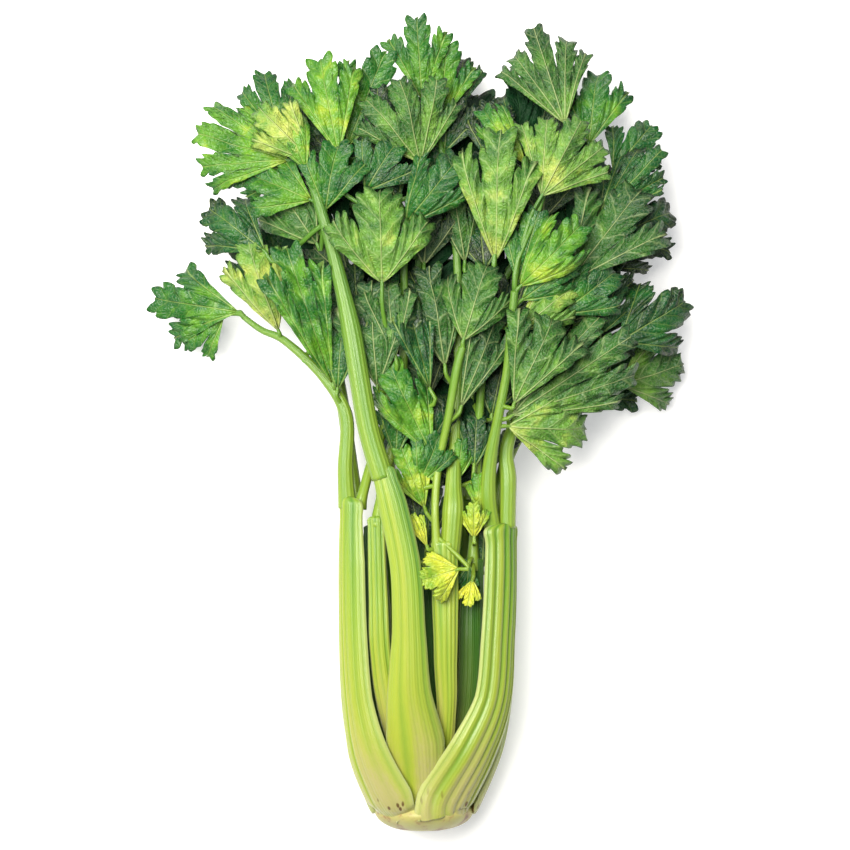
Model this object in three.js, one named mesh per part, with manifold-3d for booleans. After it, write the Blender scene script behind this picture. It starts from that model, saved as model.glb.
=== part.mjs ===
// A head of celery lying on its side on a flat surface.
// Millimetres, +Z up. The cut butt is towards -Y, the leaves are towards +Y, and the surface is z = 0.
import * as THREE from 'three';
import { mergeVertices } from 'three/addons/utils/BufferGeometryUtils.js';
import Module from 'manifold-3d';

const wasm = await Module();
wasm.setup();

// Driving dimensions
const GAP = 0.3;              // air kept between two pieces that touch
const LEAF_THICKNESS = 1.2;   // a leaf blade with its raised ribs
const LEAF_FOOT = 2.5;        // width of a blade where it leaves its little stem
const FAN_SPREAD = 74;        // degrees from a leaf's midrib to its outermost edge
const TWIG_LEAN = 0.25;       // share of a little stem's length that stays in line at each end
const SURFACE = 0;            // what the head lies on

// The butt: the short crown that all stalks grow from, cut off flat below
const BUTT_CENTRE_X = 0.5;
const BUTT_CENTRE_Z = 35.5;
const BUTT_CUT_Y = -245.5;
const BUTT_CUT_RADIUS = 19;
const BUTT_HEEL_Y = -239;
const BUTT_HEEL_RADIUS = 27.5;
const BUTT_RIM_Y = -229;
const BUTT_RIM_RADIUS = 33.5;
const BUTT_CORE_Y = -196;
const BUTT_CORE_RADIUS = 9;

// Mesh fineness
const STALK_STEPS_ALONG = 8;
const STALK_STEPS_ACROSS = 6;
const TUBE_SIDES = 5;
const TWIG_STEPS = 3;
const LEAF_STEPS_ACROSS = 8;
const LEAF_STEPS_OUT = 2;
const BUTT_SIDES = 20;

const COLOURS = {
  butt: '#ddd9a0',
  stalk: '#b4cc55',
  inner: '#9cc04a',
  light: '#8cb455',
  mid: '#5f9a3c',
  deep: '#2f7a36',
  heart: '#d8dc44',
};

const vec = (point) => new THREE.Vector3(...point);
const radians = THREE.MathUtils.degToRad;
const lerp = THREE.MathUtils.lerp;

// Solids

// Turns a closed three.js geometry into a solid whose faces point outwards.
function solidOf(geometry) {
  const bare = geometry.clone();
  bare.deleteAttribute('normal');
  bare.deleteAttribute('uv');
  const merged = mergeVertices(bare, 1e-4);
  const corners = merged.index.array;
  const triangles = [];
  for (let i = 0; i < corners.length; i += 3) {
    const [a, b, c] = [corners[i], corners[i + 1], corners[i + 2]];
    if (a !== b && b !== c && c !== a) triangles.push(a, b, c);
  }
  const build = (order) => new wasm.Manifold(new wasm.Mesh({
    numProp: 3,
    vertProperties: merged.attributes.position.array,
    triVerts: Uint32Array.from(order),
  }));
  const solid = build(triangles);
  return solid.volume() > 0 ? solid : build(triangles.reverse());
}

function geometryOf(solid) {
  const mesh = solid.getMesh();
  const geometry = new THREE.BufferGeometry();
  geometry.setAttribute('position', new THREE.BufferAttribute(mesh.vertProperties, 3));
  geometry.setIndex(new THREE.BufferAttribute(mesh.triVerts, 1));
  return geometry;
}

function largestBody(solid) {
  return solid.decompose().reduce((best, body) => (body.volume() > best.volume() ? body : best));
}

// Moves every vertex of a geometry by a function of its position.
function warp(geometry, move) {
  const place = geometry.attributes.position;
  const point = new THREE.Vector3();
  for (let i = 0; i < place.count; i += 1) {
    point.fromBufferAttribute(place, i);
    const moved = move(point);
    place.setXYZ(i, moved.x, moved.y, Math.max(moved.z, SURFACE));
  }
  return geometry;
}

// Sweeps

// Reads a value at share t of a list of evenly counted stations.
function along(values, t) {
  const last = values.length - 1;
  const spot = Math.min(t * last, last - 1e-6);
  const i = Math.floor(spot);
  return lerp(values[i], values[i + 1], spot - i);
}

// A stalk is a C-shaped wall. Its route is the crest of its ribbed back, each station being
// [x, y, z, width, wall, facing]: facing is the way its back points, in degrees from +X towards +Z.
function stalkBody({ wrap, stations }, grow) {
  const route = new THREE.CatmullRomCurve3(stations.map(([x, y, z]) => new THREE.Vector3(x, y, z)));
  const widths = stations.map((s) => s[3]);
  const walls = stations.map((s) => s[4]);
  const facings = stations.map((s) => s[5]);
  const halfWrap = radians(wrap);
  const box = new THREE.BoxGeometry(2, 1, 1, STALK_STEPS_ACROSS, 1, STALK_STEPS_ALONG);
  return solidOf(warp(box, (p) => {
    const t = p.z + 0.5;
    const depth = 0.5 - p.y;
    const centre = route.getPoint(t);
    const tangent = route.getTangent(t);
    const facing = radians(along(facings, t));
    const out = new THREE.Vector3(Math.cos(facing), 0, Math.sin(facing));
    out.addScaledVector(tangent, -out.dot(tangent)).normalize();
    const side = new THREE.Vector3().crossVectors(tangent, out);
    const radius = along(widths, t) / 2 / Math.sin(halfWrap);
    const lip = 1 - 0.45 * p.x * p.x;
    const reach = radius + grow - depth * (along(walls, t) * lip + 2 * grow);
    const angle = p.x * (halfWrap + grow / radius);
    return centre.clone()
      .addScaledVector(side, reach * Math.sin(angle))
      .addScaledVector(out, reach * Math.cos(angle) - radius)
      .addScaledVector(tangent, grow * 2 * p.z);
  }));
}

// A round stem through stations [x, y, z, radius].
function stem(stations, grow, steps = stations.length - 1) {
  const route = new THREE.CatmullRomCurve3(stations.map(([x, y, z]) => new THREE.Vector3(x, y, z)));
  const radii = stations.map((s) => s[3]);
  const rod = new THREE.CylinderGeometry(1, 1, 1, TUBE_SIDES, steps);
  return solidOf(warp(rod, (p) => {
    const t = p.y + 0.5;
    const tangent = route.getTangent(t);
    const side = new THREE.Vector3().crossVectors(tangent, new THREE.Vector3(0, 0, 1)).normalize();
    const up = new THREE.Vector3().crossVectors(side, tangent);
    const radius = along(radii, t) + grow;
    return route.getPoint(t)
      .addScaledVector(side, p.x * radius)
      .addScaledVector(up, p.z * radius)
      .addScaledVector(tangent, grow * 2 * p.y);
  }));
}

// The little stem from a petiole to the foot of one leaf. It leaves along the petiole and meets
// the blade in line with it.
function twig(petiole, leaf, grow) {
  const route = new THREE.CatmullRomCurve3(petiole.map(([x, y, z]) => new THREE.Vector3(x, y, z)));
  const start = route.getPoint(leaf.leaves);
  const foot = vec(leaf.foot);
  const apart = foot.distanceTo(start);
  const lean = start.clone().addScaledVector(route.getTangent(leaf.leaves), apart * TWIG_LEAN);
  const bend = foot.clone().sub(vec(leaf.tip)).setLength(apart * TWIG_LEAN).add(foot);
  const row = (p, radius) => [p.x, p.y, p.z, radius];
  return stem([row(start, 2.1), row(lean, 1.9), row(bend, 1.7), row(foot, 1.4)], grow, TWIG_STEPS);
}

// Leaves

// How far the blade reaches at share v across its fan: a middle lobe, two side lobes and notches.
function lobes(v) {
  const middle = Math.exp(-((v / 0.27) ** 2));
  const side = Math.exp(-(((Math.abs(v) - 0.62) / 0.26) ** 2));
  return 0.44 + 0.56 * middle + 0.44 * side;
}

// A blade grows from its foot as a fan. arch lifts its middle, cup lifts its edges and
// roll lifts its left edge and drops its right one.
function blade({ foot, tip, width, arch, cup, roll }, grow) {
  const length = Math.hypot(tip[0] - foot[0], tip[1] - foot[1]);
  const ahead = new THREE.Vector2((tip[0] - foot[0]) / length, (tip[1] - foot[1]) / length);
  const start = LEAF_FOOT / 2;
  const box = new THREE.BoxGeometry(2, 1, 1, LEAF_STEPS_ACROSS, LEAF_STEPS_OUT, 1);
  return solidOf(warp(box, (p) => {
    const fan = radians(FAN_SPREAD) * p.x;
    const reach = lerp(start - grow, length * lobes(p.x) + grow, p.y + 0.5);
    const forward = reach * Math.cos(fan);
    const across = reach * Math.sin(fan) * (width / length);
    const q = forward / length;
    const edge = across / (width / 2);
    const lift = arch * 4 * q * (1 - q) + cup * edge * edge + roll * edge;
    return new THREE.Vector3(
      foot[0] + forward * ahead.x - across * ahead.y,
      foot[1] + forward * ahead.y + across * ahead.x,
      lerp(foot[2], tip[2], q) + lift + p.z * (LEAF_THICKNESS + 2 * grow),
    );
  }));
}

// The butt
function buttSolid(grow) {
  const profile = [
    [0, BUTT_CUT_Y - grow],
    [BUTT_CUT_RADIUS, BUTT_CUT_Y + 1 - grow],
    [BUTT_HEEL_RADIUS + grow, BUTT_HEEL_Y],
    [BUTT_RIM_RADIUS + grow, BUTT_RIM_Y],
    [BUTT_CORE_RADIUS + grow, BUTT_CORE_Y - 14],
    [0, BUTT_CORE_Y + grow],
  ].map(([r, y]) => new THREE.Vector2(r, y));
  const lathe = new THREE.LatheGeometry(profile, BUTT_SIDES);
  return solidOf(warp(lathe, (p) => new THREE.Vector3(p.x + BUTT_CENTRE_X, p.y, p.z + BUTT_CENTRE_Z)));
}

// The stalks

// stations follow the crest of the back from the butt up to the node where the stalk narrows.
// petioles are the stems that go on above that node, as [x, y, z, radius].
const STALKS = {
  stalk_front_left: {
    colour: COLOURS.stalk,
    wrap: 48,
    stations: [
      [-26, -226, 62, 41, 8, 134],
      [-37.5, -198, 66, 35, 8, 134],
      [-43.6, -165, 66, 28, 7.5, 138],
      [-46, -125, 65, 26.5, 7, 140],
      [-46.6, -82, 64, 25, 6.5, 140],
      [-46, -43, 63, 18, 6, 135],
    ],
    petioles: [
      [[-45, -50, 56, 5], [-46.3, -27, 57, 4.6], [-46, 6, 57, 4], [-60, 29, 55, 2.8], [-82.4, 50, 50, 2.3],
        [-97, 57, 46, 1.9], [-108, 65, 43, 1.6]],
      [[-38, -50, 56, 3], [-31.5, -26, 59, 3], [-24, -4, 62, 2.6], [-20, 18, 63, 2.2]],
    ],
  },
  stalk_front: {
    colour: COLOURS.stalk,
    wrap: 44,
    stations: [
      [-2, -224, 62, 32, 7, 92],
      [-4.5, -192, 74, 38, 7.5, 93],
      [-8.6, -160, 81, 29, 7.5, 97],
      [-9, -122, 84, 22.5, 7.5, 100],
      [-11, -84, 86, 21, 7.5, 100],
      [-18.3, -47, 86.5, 19.5, 7.5, 98],
      [-24.5, -25, 85.5, 13, 7, 95],
    ],
    petioles: [
      [[-23.5, -32, 80, 6], [-32, -3, 80, 6.2], [-37.4, 27, 80, 6], [-42.2, 55.5, 78.5, 5.8],
        [-47.6, 80, 76, 4.5], [-55, 109, 73, 3.5], [-63.5, 137, 70, 2.9], [-68.6, 151.5, 68, 2.1]],
    ],
  },
  stalk_front_right: {
    colour: COLOURS.stalk,
    wrap: 50,
    stations: [
      [19, -227, 62, 43, 8, 55],
      [35.5, -197, 67, 38, 8, 50],
      [47.5, -166, 66, 32, 7.5, 46],
      [50.8, -128, 65, 31, 7, 43],
      [52.2, -92, 64, 30, 7, 42],
      [52, -59, 64, 27, 7, 46],
    ],
    petioles: [
      [[42, -62, 61, 4.4], [39.5, -43.5, 64, 4.8], [40.5, -23, 66, 4], [44.5, 0, 70, 2.9], [50.2, 30, 74, 2.5],
        [52.6, 55.5, 77, 2.4], [55, 79.5, 79, 2.3]],
      [[51, -62, 58, 4.4], [51.5, -33, 58, 5], [51, -13, 55, 4], [62, 16, 49, 3], [80, 60, 46, 2.6],
        [93, 105, 46, 2.3], [97, 145, 48, 1.9]],
    ],
  },
  stalk_narrow: {
    colour: COLOURS.inner,
    wrap: 42,
    stations: [
      [-9, -206, 54, 16, 5, 100],
      [-20, -172, 66, 16, 5, 100],
      [-25.5, -138, 70, 14, 5, 100],
      [-27, -100, 71, 13, 5, 100],
      [-28.2, -54, 70, 11, 4.5, 100],
    ],
    petioles: [
      [[-27.5, -62, 66, 3], [-22, -30, 60, 3], [-14, 2, 56, 2.8], [-11, 50, 57, 2.6], [-11, 95, 60, 2.2],
        [-11, 112, 66, 1.7]],
    ],
  },
  stalk_inner_pale: {
    colour: COLOURS.inner,
    wrap: 56,
    stations: [
      [11, -210, 52, 13, 5.5, 90],
      [14.5, -176, 66, 13, 5.5, 90],
      [14, -140, 72, 16, 6, 90],
      [13.6, -105, 74, 18, 6.5, 90],
      [13.3, -69, 75, 17, 6.5, 90],
    ],
    petioles: [
      [[16.5, -78, 68, 5], [18.4, -52, 68, 6.4], [18.6, -34, 64, 4.6], [20, 0, 57, 3], [22, 50, 54, 2.6],
        [20, 110, 50, 2.2], [12, 165, 48, 1.8]],
      [[9, -78, 70, 2.4], [7.6, -52, 71, 2.2], [9.4, -26, 67, 2.3], [15.5, 4, 71, 2.4], [20.5, 33, 75, 2.6],
        [24, 46, 77, 2.2]],
    ],
  },
  stalk_inner_right: {
    colour: COLOURS.inner,
    wrap: 52,
    stations: [
      [22, -208, 44, 12, 4.5, 75],
      [29, -165, 52, 16, 4.5, 75],
      [30.5, -120, 56, 17, 4.5, 78],
      [31, -80, 57, 14, 4.5, 80],
    ],
    petioles: [
      [[30, -88, 54, 2.8], [32, -46, 53, 2.8], [34, 0, 55, 2.6], [37, 50, 60, 2.4], [41, 84, 69, 1.8]],
    ],
  },
  stalk_inner_left: {
    colour: COLOURS.inner,
    wrap: 54,
    stations: [
      [-14, -210, 36, 16, 5, 150],
      [-27, -165, 44, 22, 5, 120],
      [-31, -110, 46, 22, 5, 115],
      [-30, -60, 46, 14, 5, 110],
    ],
    petioles: [
      [[-29, -70, 42, 2.8], [-20, -20, 43, 2.9], [-5, 40, 44, 2.7], [-2, 100, 48, 2.4], [-1, 148, 57, 1.8]],
    ],
  },
  stalk_inner_lower: {
    colour: COLOURS.inner,
    wrap: 50,
    stations: [
      [4, -210, 40, 14, 5, 90],
      [4, -165, 48, 20, 5, 90],
      [3, -110, 52, 22, 5, 90],
      [2, -56, 52, 14, 5, 90],
    ],
    petioles: [
      [[3, -66, 47, 3], [12, 0, 32, 2.9], [34, 58, 29, 2.7], [62, 112, 34, 2.4], [80, 158, 48, 2], [85, 172, 58, 1.6]],
    ],
  },
  stalk_left_under: {
    colour: COLOURS.stalk,
    wrap: 50,
    stations: [
      [-33, -226, 24, 31, 8, 204],
      [-43, -197, 25, 32, 8, 203],
      [-48, -165, 27, 30, 7.5, 201],
      [-49.5, -120, 28, 28, 7, 200],
      [-49, -78, 28, 26, 7, 198],
      [-46, -44, 29, 15, 6.5, 196],
    ],
    petioles: [
      [[-40, -52, 28, 4], [-44, -20, 26, 4], [-50, 22, 24, 3.6], [-60, 72, 24, 3], [-70, 122, 28, 2.5],
        [-80, 160, 40, 1.8]],
    ],
  },
  stalk_bottom_left: {
    colour: COLOURS.stalk,
    wrap: 42,
    stations: [
      [-11, -226, 3, 31, 8, 250],
      [-16, -197, 1.5, 34, 8, 250],
      [-19, -165, 0.5, 33, 7.5, 250],
      [-20, -115, 0.5, 31, 7, 251],
      [-20, -74, 1, 28, 7, 252],
      [-20, -40, 3, 16, 6.5, 255],
    ],
    petioles: [
      [[-20, -48, 7, 4], [-22, -4, 6, 3.8], [-26, 50, 8, 3.2], [-32, 105, 16, 2.8], [-40, 150, 36, 2.2],
        [-44, 160, 50, 1.7]],
    ],
  },
  stalk_bottom_right: {
    colour: COLOURS.stalk,
    wrap: 42,
    stations: [
      [12, -226, 3, 31, 8, 290],
      [18, -197, 1.5, 35, 8, 290],
      [22, -165, 0.5, 34, 7.5, 290],
      [24, -115, 0.5, 32, 7, 289],
      [24.5, -74, 1, 29, 7, 288],
      [25, -38, 3, 16, 6.5, 285],
    ],
    petioles: [
      [[25, -46, 7, 4], [26, 0, 6, 3.8], [27, 60, 8, 3.2], [20, 120, 18, 2.8], [8, 168, 34, 2.2], [3, 188, 46, 1.7]],
    ],
  },
  stalk_right_under: {
    colour: COLOURS.stalk,
    wrap: 50,
    stations: [
      [35, -226, 24, 31, 8, 336],
      [47, -197, 25, 33, 8, 337],
      [53, -165, 27, 32, 7.5, 339],
      [55, -120, 28, 29, 7, 340],
      [55, -80, 28, 27, 7, 341],
      [51.5, -46, 29, 15, 6.5, 343],
    ],
    petioles: [
      [[45, -54, 28, 4], [52, -20, 26, 3.8], [68, 6, 25, 3.2], [88, 26, 27, 2.7], [106, 40, 34, 2.1],
        [116, 47, 45, 1.6]],
    ],
  },
};

// The leaves

// A leaf: its stalk, which of the stalk's petioles carries it and at what share of that petiole
// its little stem leaves, the foot and the tip of its blade, and how wide it is.
function leaf(stalk, petiole, leaves, foot, tip, width, colour, { arch = 4, cup = -3, roll = 0 } = {}) {
  return { stalk, petiole, leaves, foot, tip, width, colour, arch, cup, roll };
}

const LEAVES = {
  leaf_crossing: leaf('stalk_front_left', 1, 0.97, [-24, 84, 79], [-25.5, 135, 85], 46, COLOURS.light, { cup: -5 }),
  leaf_right_glossy: leaf('stalk_front_right', 0, 0.97, [58, 82, 80], [93, 117, 86], 31, COLOURS.light, { arch: 5 }),
  leaf_right_fan: leaf('stalk_front_right', 0, 0.98, [71, 136, 78], [94, 180, 82], 46, COLOURS.light, { arch: 6 }),
  leaf_middle_front: leaf('stalk_inner_pale', 1, 0.97, [24.5, 50, 78], [37, 92, 83], 36, COLOURS.light),
  leaf_long_veined: leaf('stalk_inner_right', 0, 0.97, [43.5, 97, 72], [46, 168, 79], 36, COLOURS.light, { arch: 6 }),
  leaf_right_low_fan: leaf('stalk_front_right', 0, 0.48, [51, -1, 69], [104, -3, 60], 40, COLOURS.light, { roll: 4 }),
  leaf_right_upright: leaf('stalk_front_right', 0, 0.55, [54.5, 12, 76], [78, 64, 78], 28, COLOURS.mid),
  leaf_right_slender: leaf('stalk_front_right', 0, 0.8, [57, 56, 74], [88, 80, 72], 21, COLOURS.light),
  leaf_saturated: leaf('stalk_narrow', 0, 0.98, [-9.8, 120, 72], [19.6, 157, 75], 31, COLOURS.deep),
  leaf_left_cream: leaf('stalk_front', 0, 0.95, [-66, 157, 73], [-99, 190, 75], 28, COLOURS.heart),
  leaf_left_broad: leaf('stalk_front', 0, 0.99, [-80, 158, 66], [-139, 176, 60], 52, COLOURS.light, { roll: 4 }),
  leaf_left_high: leaf('stalk_front', 0, 0.9, [-50, 162, 66], [-62, 221, 61], 28, COLOURS.light),
  leaf_middle_folded: leaf('stalk_narrow', 0, 0.35, [4.6, 21, 68], [-8.6, 72, 70], 18, COLOURS.deep),
  leaf_middle_net: leaf('stalk_inner_pale', 0, 0.55, [13.6, 35, 63], [4.6, 89, 66], 27, COLOURS.mid),
  leaf_middle_side: leaf('stalk_inner_pale', 1, 0.55, [23, 10, 68], [44, 63, 68], 17, COLOURS.mid),
  leaf_middle_yellow: leaf('stalk_inner_pale', 1, 0.35, [5, -17, 67], [-17.6, 31, 71], 27, COLOURS.light),
  leaf_serrated: leaf('stalk_inner_pale', 1, 0.12, [1.5, -50, 64], [-12, -16, 68], 18, COLOURS.heart),
  leaf_behind_petiole: leaf('stalk_front_left', 1, 0.97, [-27, 22, 69], [-31, 80, 72], 24, COLOURS.mid),
  leaf_left_folded: leaf('stalk_front_left', 0, 0.42, [-53.5, 24, 60], [-80, 97, 64], 25, COLOURS.mid, { cup: 4 }),
  leaf_left_pale_back: leaf('stalk_front_left', 0, 0.68, [-86.5, 56, 52], [-105, 109.5, 58], 28, COLOURS.heart),
  leaf_left_outer: leaf('stalk_front_left', 0, 0.99, [-111, 68, 42], [-164.6, 76.5, 22], 34, COLOURS.mid, { arch: 7 }),
  leaf_left_arm: leaf('stalk_front', 0, 0.72, [-94.5, 104, 56], [-131, 132, 46], 30, COLOURS.deep),
  leaf_left_middle: leaf('stalk_front', 0, 0.76, [-63, 108, 62], [-90, 146, 58], 32, COLOURS.mid),
  leaf_top_olive: leaf('stalk_inner_left', 0, 0.98, [-1, 157, 60], [-13, 204, 65], 50, COLOURS.mid, { cup: -6 }),
  leaf_top_tip: leaf('stalk_bottom_right', 0, 0.98, [0, 195, 50], [-4, 245.5, 46], 24, COLOURS.light),
  leaf_top_right: leaf('stalk_inner_pale', 0, 0.97, [10, 181, 50], [15, 230, 46], 25, COLOURS.light, { roll: 3 }),
  leaf_right_olive: leaf('stalk_inner_lower', 0, 0.98, [85.5, 180, 62], [67, 238, 54], 46, COLOURS.mid, { arch: 7 }),
  leaf_right_ridge: leaf('stalk_front_right', 1, 0.99, [100, 168, 52], [106, 216, 44], 26, COLOURS.mid),
  leaf_right_grey: leaf('stalk_front_right', 1, 0.62, [89, 86, 62], [130.5, 141, 62], 38, COLOURS.mid, { roll: -3 }),
  leaf_right_blue: leaf('stalk_front_right', 1, 0.82, [106.5, 126, 54], [145, 165, 48], 30, COLOURS.deep),
  leaf_right_light: leaf('stalk_front_right', 0, 0.5, [53, 5, 70], [121, 50, 66], 54, COLOURS.light, { arch: 6 }),
  leaf_right_gloss: leaf('stalk_right_under', 0, 0.98, [119, 50, 48], [160, 76, 40], 42, COLOURS.deep, { arch: 6 }),
  leaf_right_edge: leaf('stalk_front_right', 1, 0.72, [112, 112, 44], [154, 130, 36], 32, COLOURS.deep),
  leaf_right_corner: leaf('stalk_right_under', 0, 0.82, [120, 24, 34], [163, 38, 24], 38, COLOURS.mid, { arch: 6 }),
  leaf_right_shade: leaf('stalk_front_right', 1, 0.5, [92, 60, 44], [114, 105, 46], 30, COLOURS.deep),
  leaf_right_dark: leaf('stalk_front_right', 1, 0.9, [115, 153, 42], [139, 181, 34], 28, COLOURS.deep),
  leaf_left_dark: leaf('stalk_left_under', 0, 0.98, [-83, 168, 48], [-97, 216, 42], 44, COLOURS.deep, { arch: 6 }),
  leaf_left_top: leaf('stalk_bottom_left', 0, 0.98, [-45, 167, 52], [-24, 223, 48], 28, COLOURS.mid),
  leaf_under_left: leaf('stalk_left_under', 0, 0.55, [-64, 80, 17], [-116, 118, 2], 46, COLOURS.mid, { arch: 8 }),
  leaf_under_top_left: leaf('stalk_bottom_left', 0, 0.6, [-38, 118, 14], [-62, 186, 2], 46, COLOURS.mid, { arch: 8 }),
  leaf_under_top: leaf('stalk_bottom_right', 0, 0.6, [26, 122, 14], [32, 196, 2], 48, COLOURS.mid, { arch: 8 }),
  leaf_under_right: leaf('stalk_right_under', 0, 0.5, [86, 20, 17], [134, 44, 2], 40, COLOURS.mid, { arch: 8 }),
  leaf_under_top_right: leaf('stalk_inner_lower', 0, 0.55, [66, 108, 20], [112, 158, 2], 46, COLOURS.mid, { arch: 8 }),
  heart_leaf_round: leaf('stalk_inner_pale', 1, 0.06, [22, -86, 80], [-1, -93, 84], 24, COLOURS.heart),
  heart_leaf_spear: leaf('stalk_inner_pale', 1, 0.02, [3, -73, 74], [-6.5, -52, 78], 9, COLOURS.heart),
  heart_leaf_trident: leaf('stalk_inner_right', 0, 0.12, [31, -68, 68], [30.5, -46, 71], 14, COLOURS.heart),
  heart_leaf_yellow: leaf('stalk_inner_right', 0, 0.02, [30, -93, 66], [27, -109, 70], 12, COLOURS.heart),
};

// Assembly

const head = new THREE.Group();
const placed = [];

const boxesMeet = (a, b) => a.min.every((low, i) => low < b.max[i]) && b.min.every((low, i) => low < a.max[i]);

// Puts a piece in, cut clear of every piece already there.
function put(name, colour, roughness, make) {
  let solid = make(0);
  const box = solid.boundingBox();
  for (const other of placed) {
    if (boxesMeet(box, other.box)) solid = solid.subtract(other.grown);
  }
  const grown = make(GAP);
  placed.push({ grown, box: grown.boundingBox() });
  const material = new THREE.MeshStandardMaterial({ color: colour, roughness, metalness: 0 });
  const mesh = new THREE.Mesh(geometryOf(largestBody(solid)), material);
  mesh.name = name;
  head.add(mesh);
}

put('butt', COLOURS.butt, 0.55, buttSolid);
for (const [name, stalk] of Object.entries(STALKS)) {
  const carried = Object.values(LEAVES).filter((one) => one.stalk === name);
  put(name, stalk.colour, 0.35, (grow) => [
    ...stalk.petioles.map((stations) => stem(stations, grow)),
    ...carried.map((one) => twig(stalk.petioles[one.petiole], one, grow)),
  ].reduce((joined, piece) => joined.add(piece), stalkBody(stalk, grow)));
}
for (const [name, one] of Object.entries(LEAVES)) {
  put(name, one.colour, 0.5, (grow) => blade(one, grow));
}

export default head;
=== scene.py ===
# A head of celery lying on its side: butt, ribbed stalks, petioles and leaves
import math
import random

import bmesh
import bpy
from mathutils import Euler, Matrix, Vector, noise


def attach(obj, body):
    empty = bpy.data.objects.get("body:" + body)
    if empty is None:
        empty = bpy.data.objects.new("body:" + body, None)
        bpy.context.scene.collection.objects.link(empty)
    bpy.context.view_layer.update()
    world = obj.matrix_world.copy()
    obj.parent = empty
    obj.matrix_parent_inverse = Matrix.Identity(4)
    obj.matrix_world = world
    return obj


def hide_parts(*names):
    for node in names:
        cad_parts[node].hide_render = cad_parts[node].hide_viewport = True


bl_info = {
    "name": "Head of Celery",
    "version": (1, 0, 0),
    "blender": (4, 5, 0),
    "location": "View3D > Sidebar > Celery",
    "description": "Builds a head of celery with ribbed stalks and toothed, veined leaves",
    "category": "Add Mesh",
}

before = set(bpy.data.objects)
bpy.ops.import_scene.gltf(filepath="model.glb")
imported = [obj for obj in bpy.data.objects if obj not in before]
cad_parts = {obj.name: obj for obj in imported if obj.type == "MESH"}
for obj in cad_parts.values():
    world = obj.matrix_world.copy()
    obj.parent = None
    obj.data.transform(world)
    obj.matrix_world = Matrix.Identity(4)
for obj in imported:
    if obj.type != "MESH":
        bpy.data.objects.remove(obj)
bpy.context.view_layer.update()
MM = 0.001


# Numbers and curves

def linear(hex_colour):
    """Turns an sRGB hex colour into linear red, green, blue and alpha."""
    parts = [int(hex_colour[i:i + 2], 16) / 255 for i in (1, 3, 5)]
    return tuple(c / 12.92 if c <= 0.04045 else ((c + 0.055) / 1.055) ** 2.4 for c in parts) + (1.0,)


def blend(a, b, t):
    return a + (b - a) * t


def along(values, t):
    """Reads a value at share t of evenly counted stations."""
    spot = min(max(t, 0.0), 1.0) * (len(values) - 1)
    i = min(int(spot), len(values) - 2)
    return blend(values[i], values[i + 1], spot - i)


def route(points, t):
    """A point of the smooth curve through evenly counted stations, at share t."""
    spot = min(max(t, 0.0), 1.0) * (len(points) - 1)
    i = min(int(spot), len(points) - 2)
    f = spot - i
    a, b = points[max(i - 1, 0)], points[i]
    c, d = points[i + 1], points[min(i + 2, len(points) - 1)]
    bent = (2 * a - 5 * b + 4 * c - d) * f * f + (3 * b - a - 3 * c + d) * f ** 3
    return 0.5 * (2 * b + (c - a) * f + bent)


def heading(points, t):
    """The direction of that curve at share t."""
    step = 0.01
    return (route(points, min(t + step, 1)) - route(points, max(t - step, 0))).normalized()


# The stalks, as the frame has them, in millimetres.
# A station is (x, y, z, width, wall, facing): the crest of the back, and the way the back points.
# A petiole is a stem that goes on above the node, as (x, y, z, radius).

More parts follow.
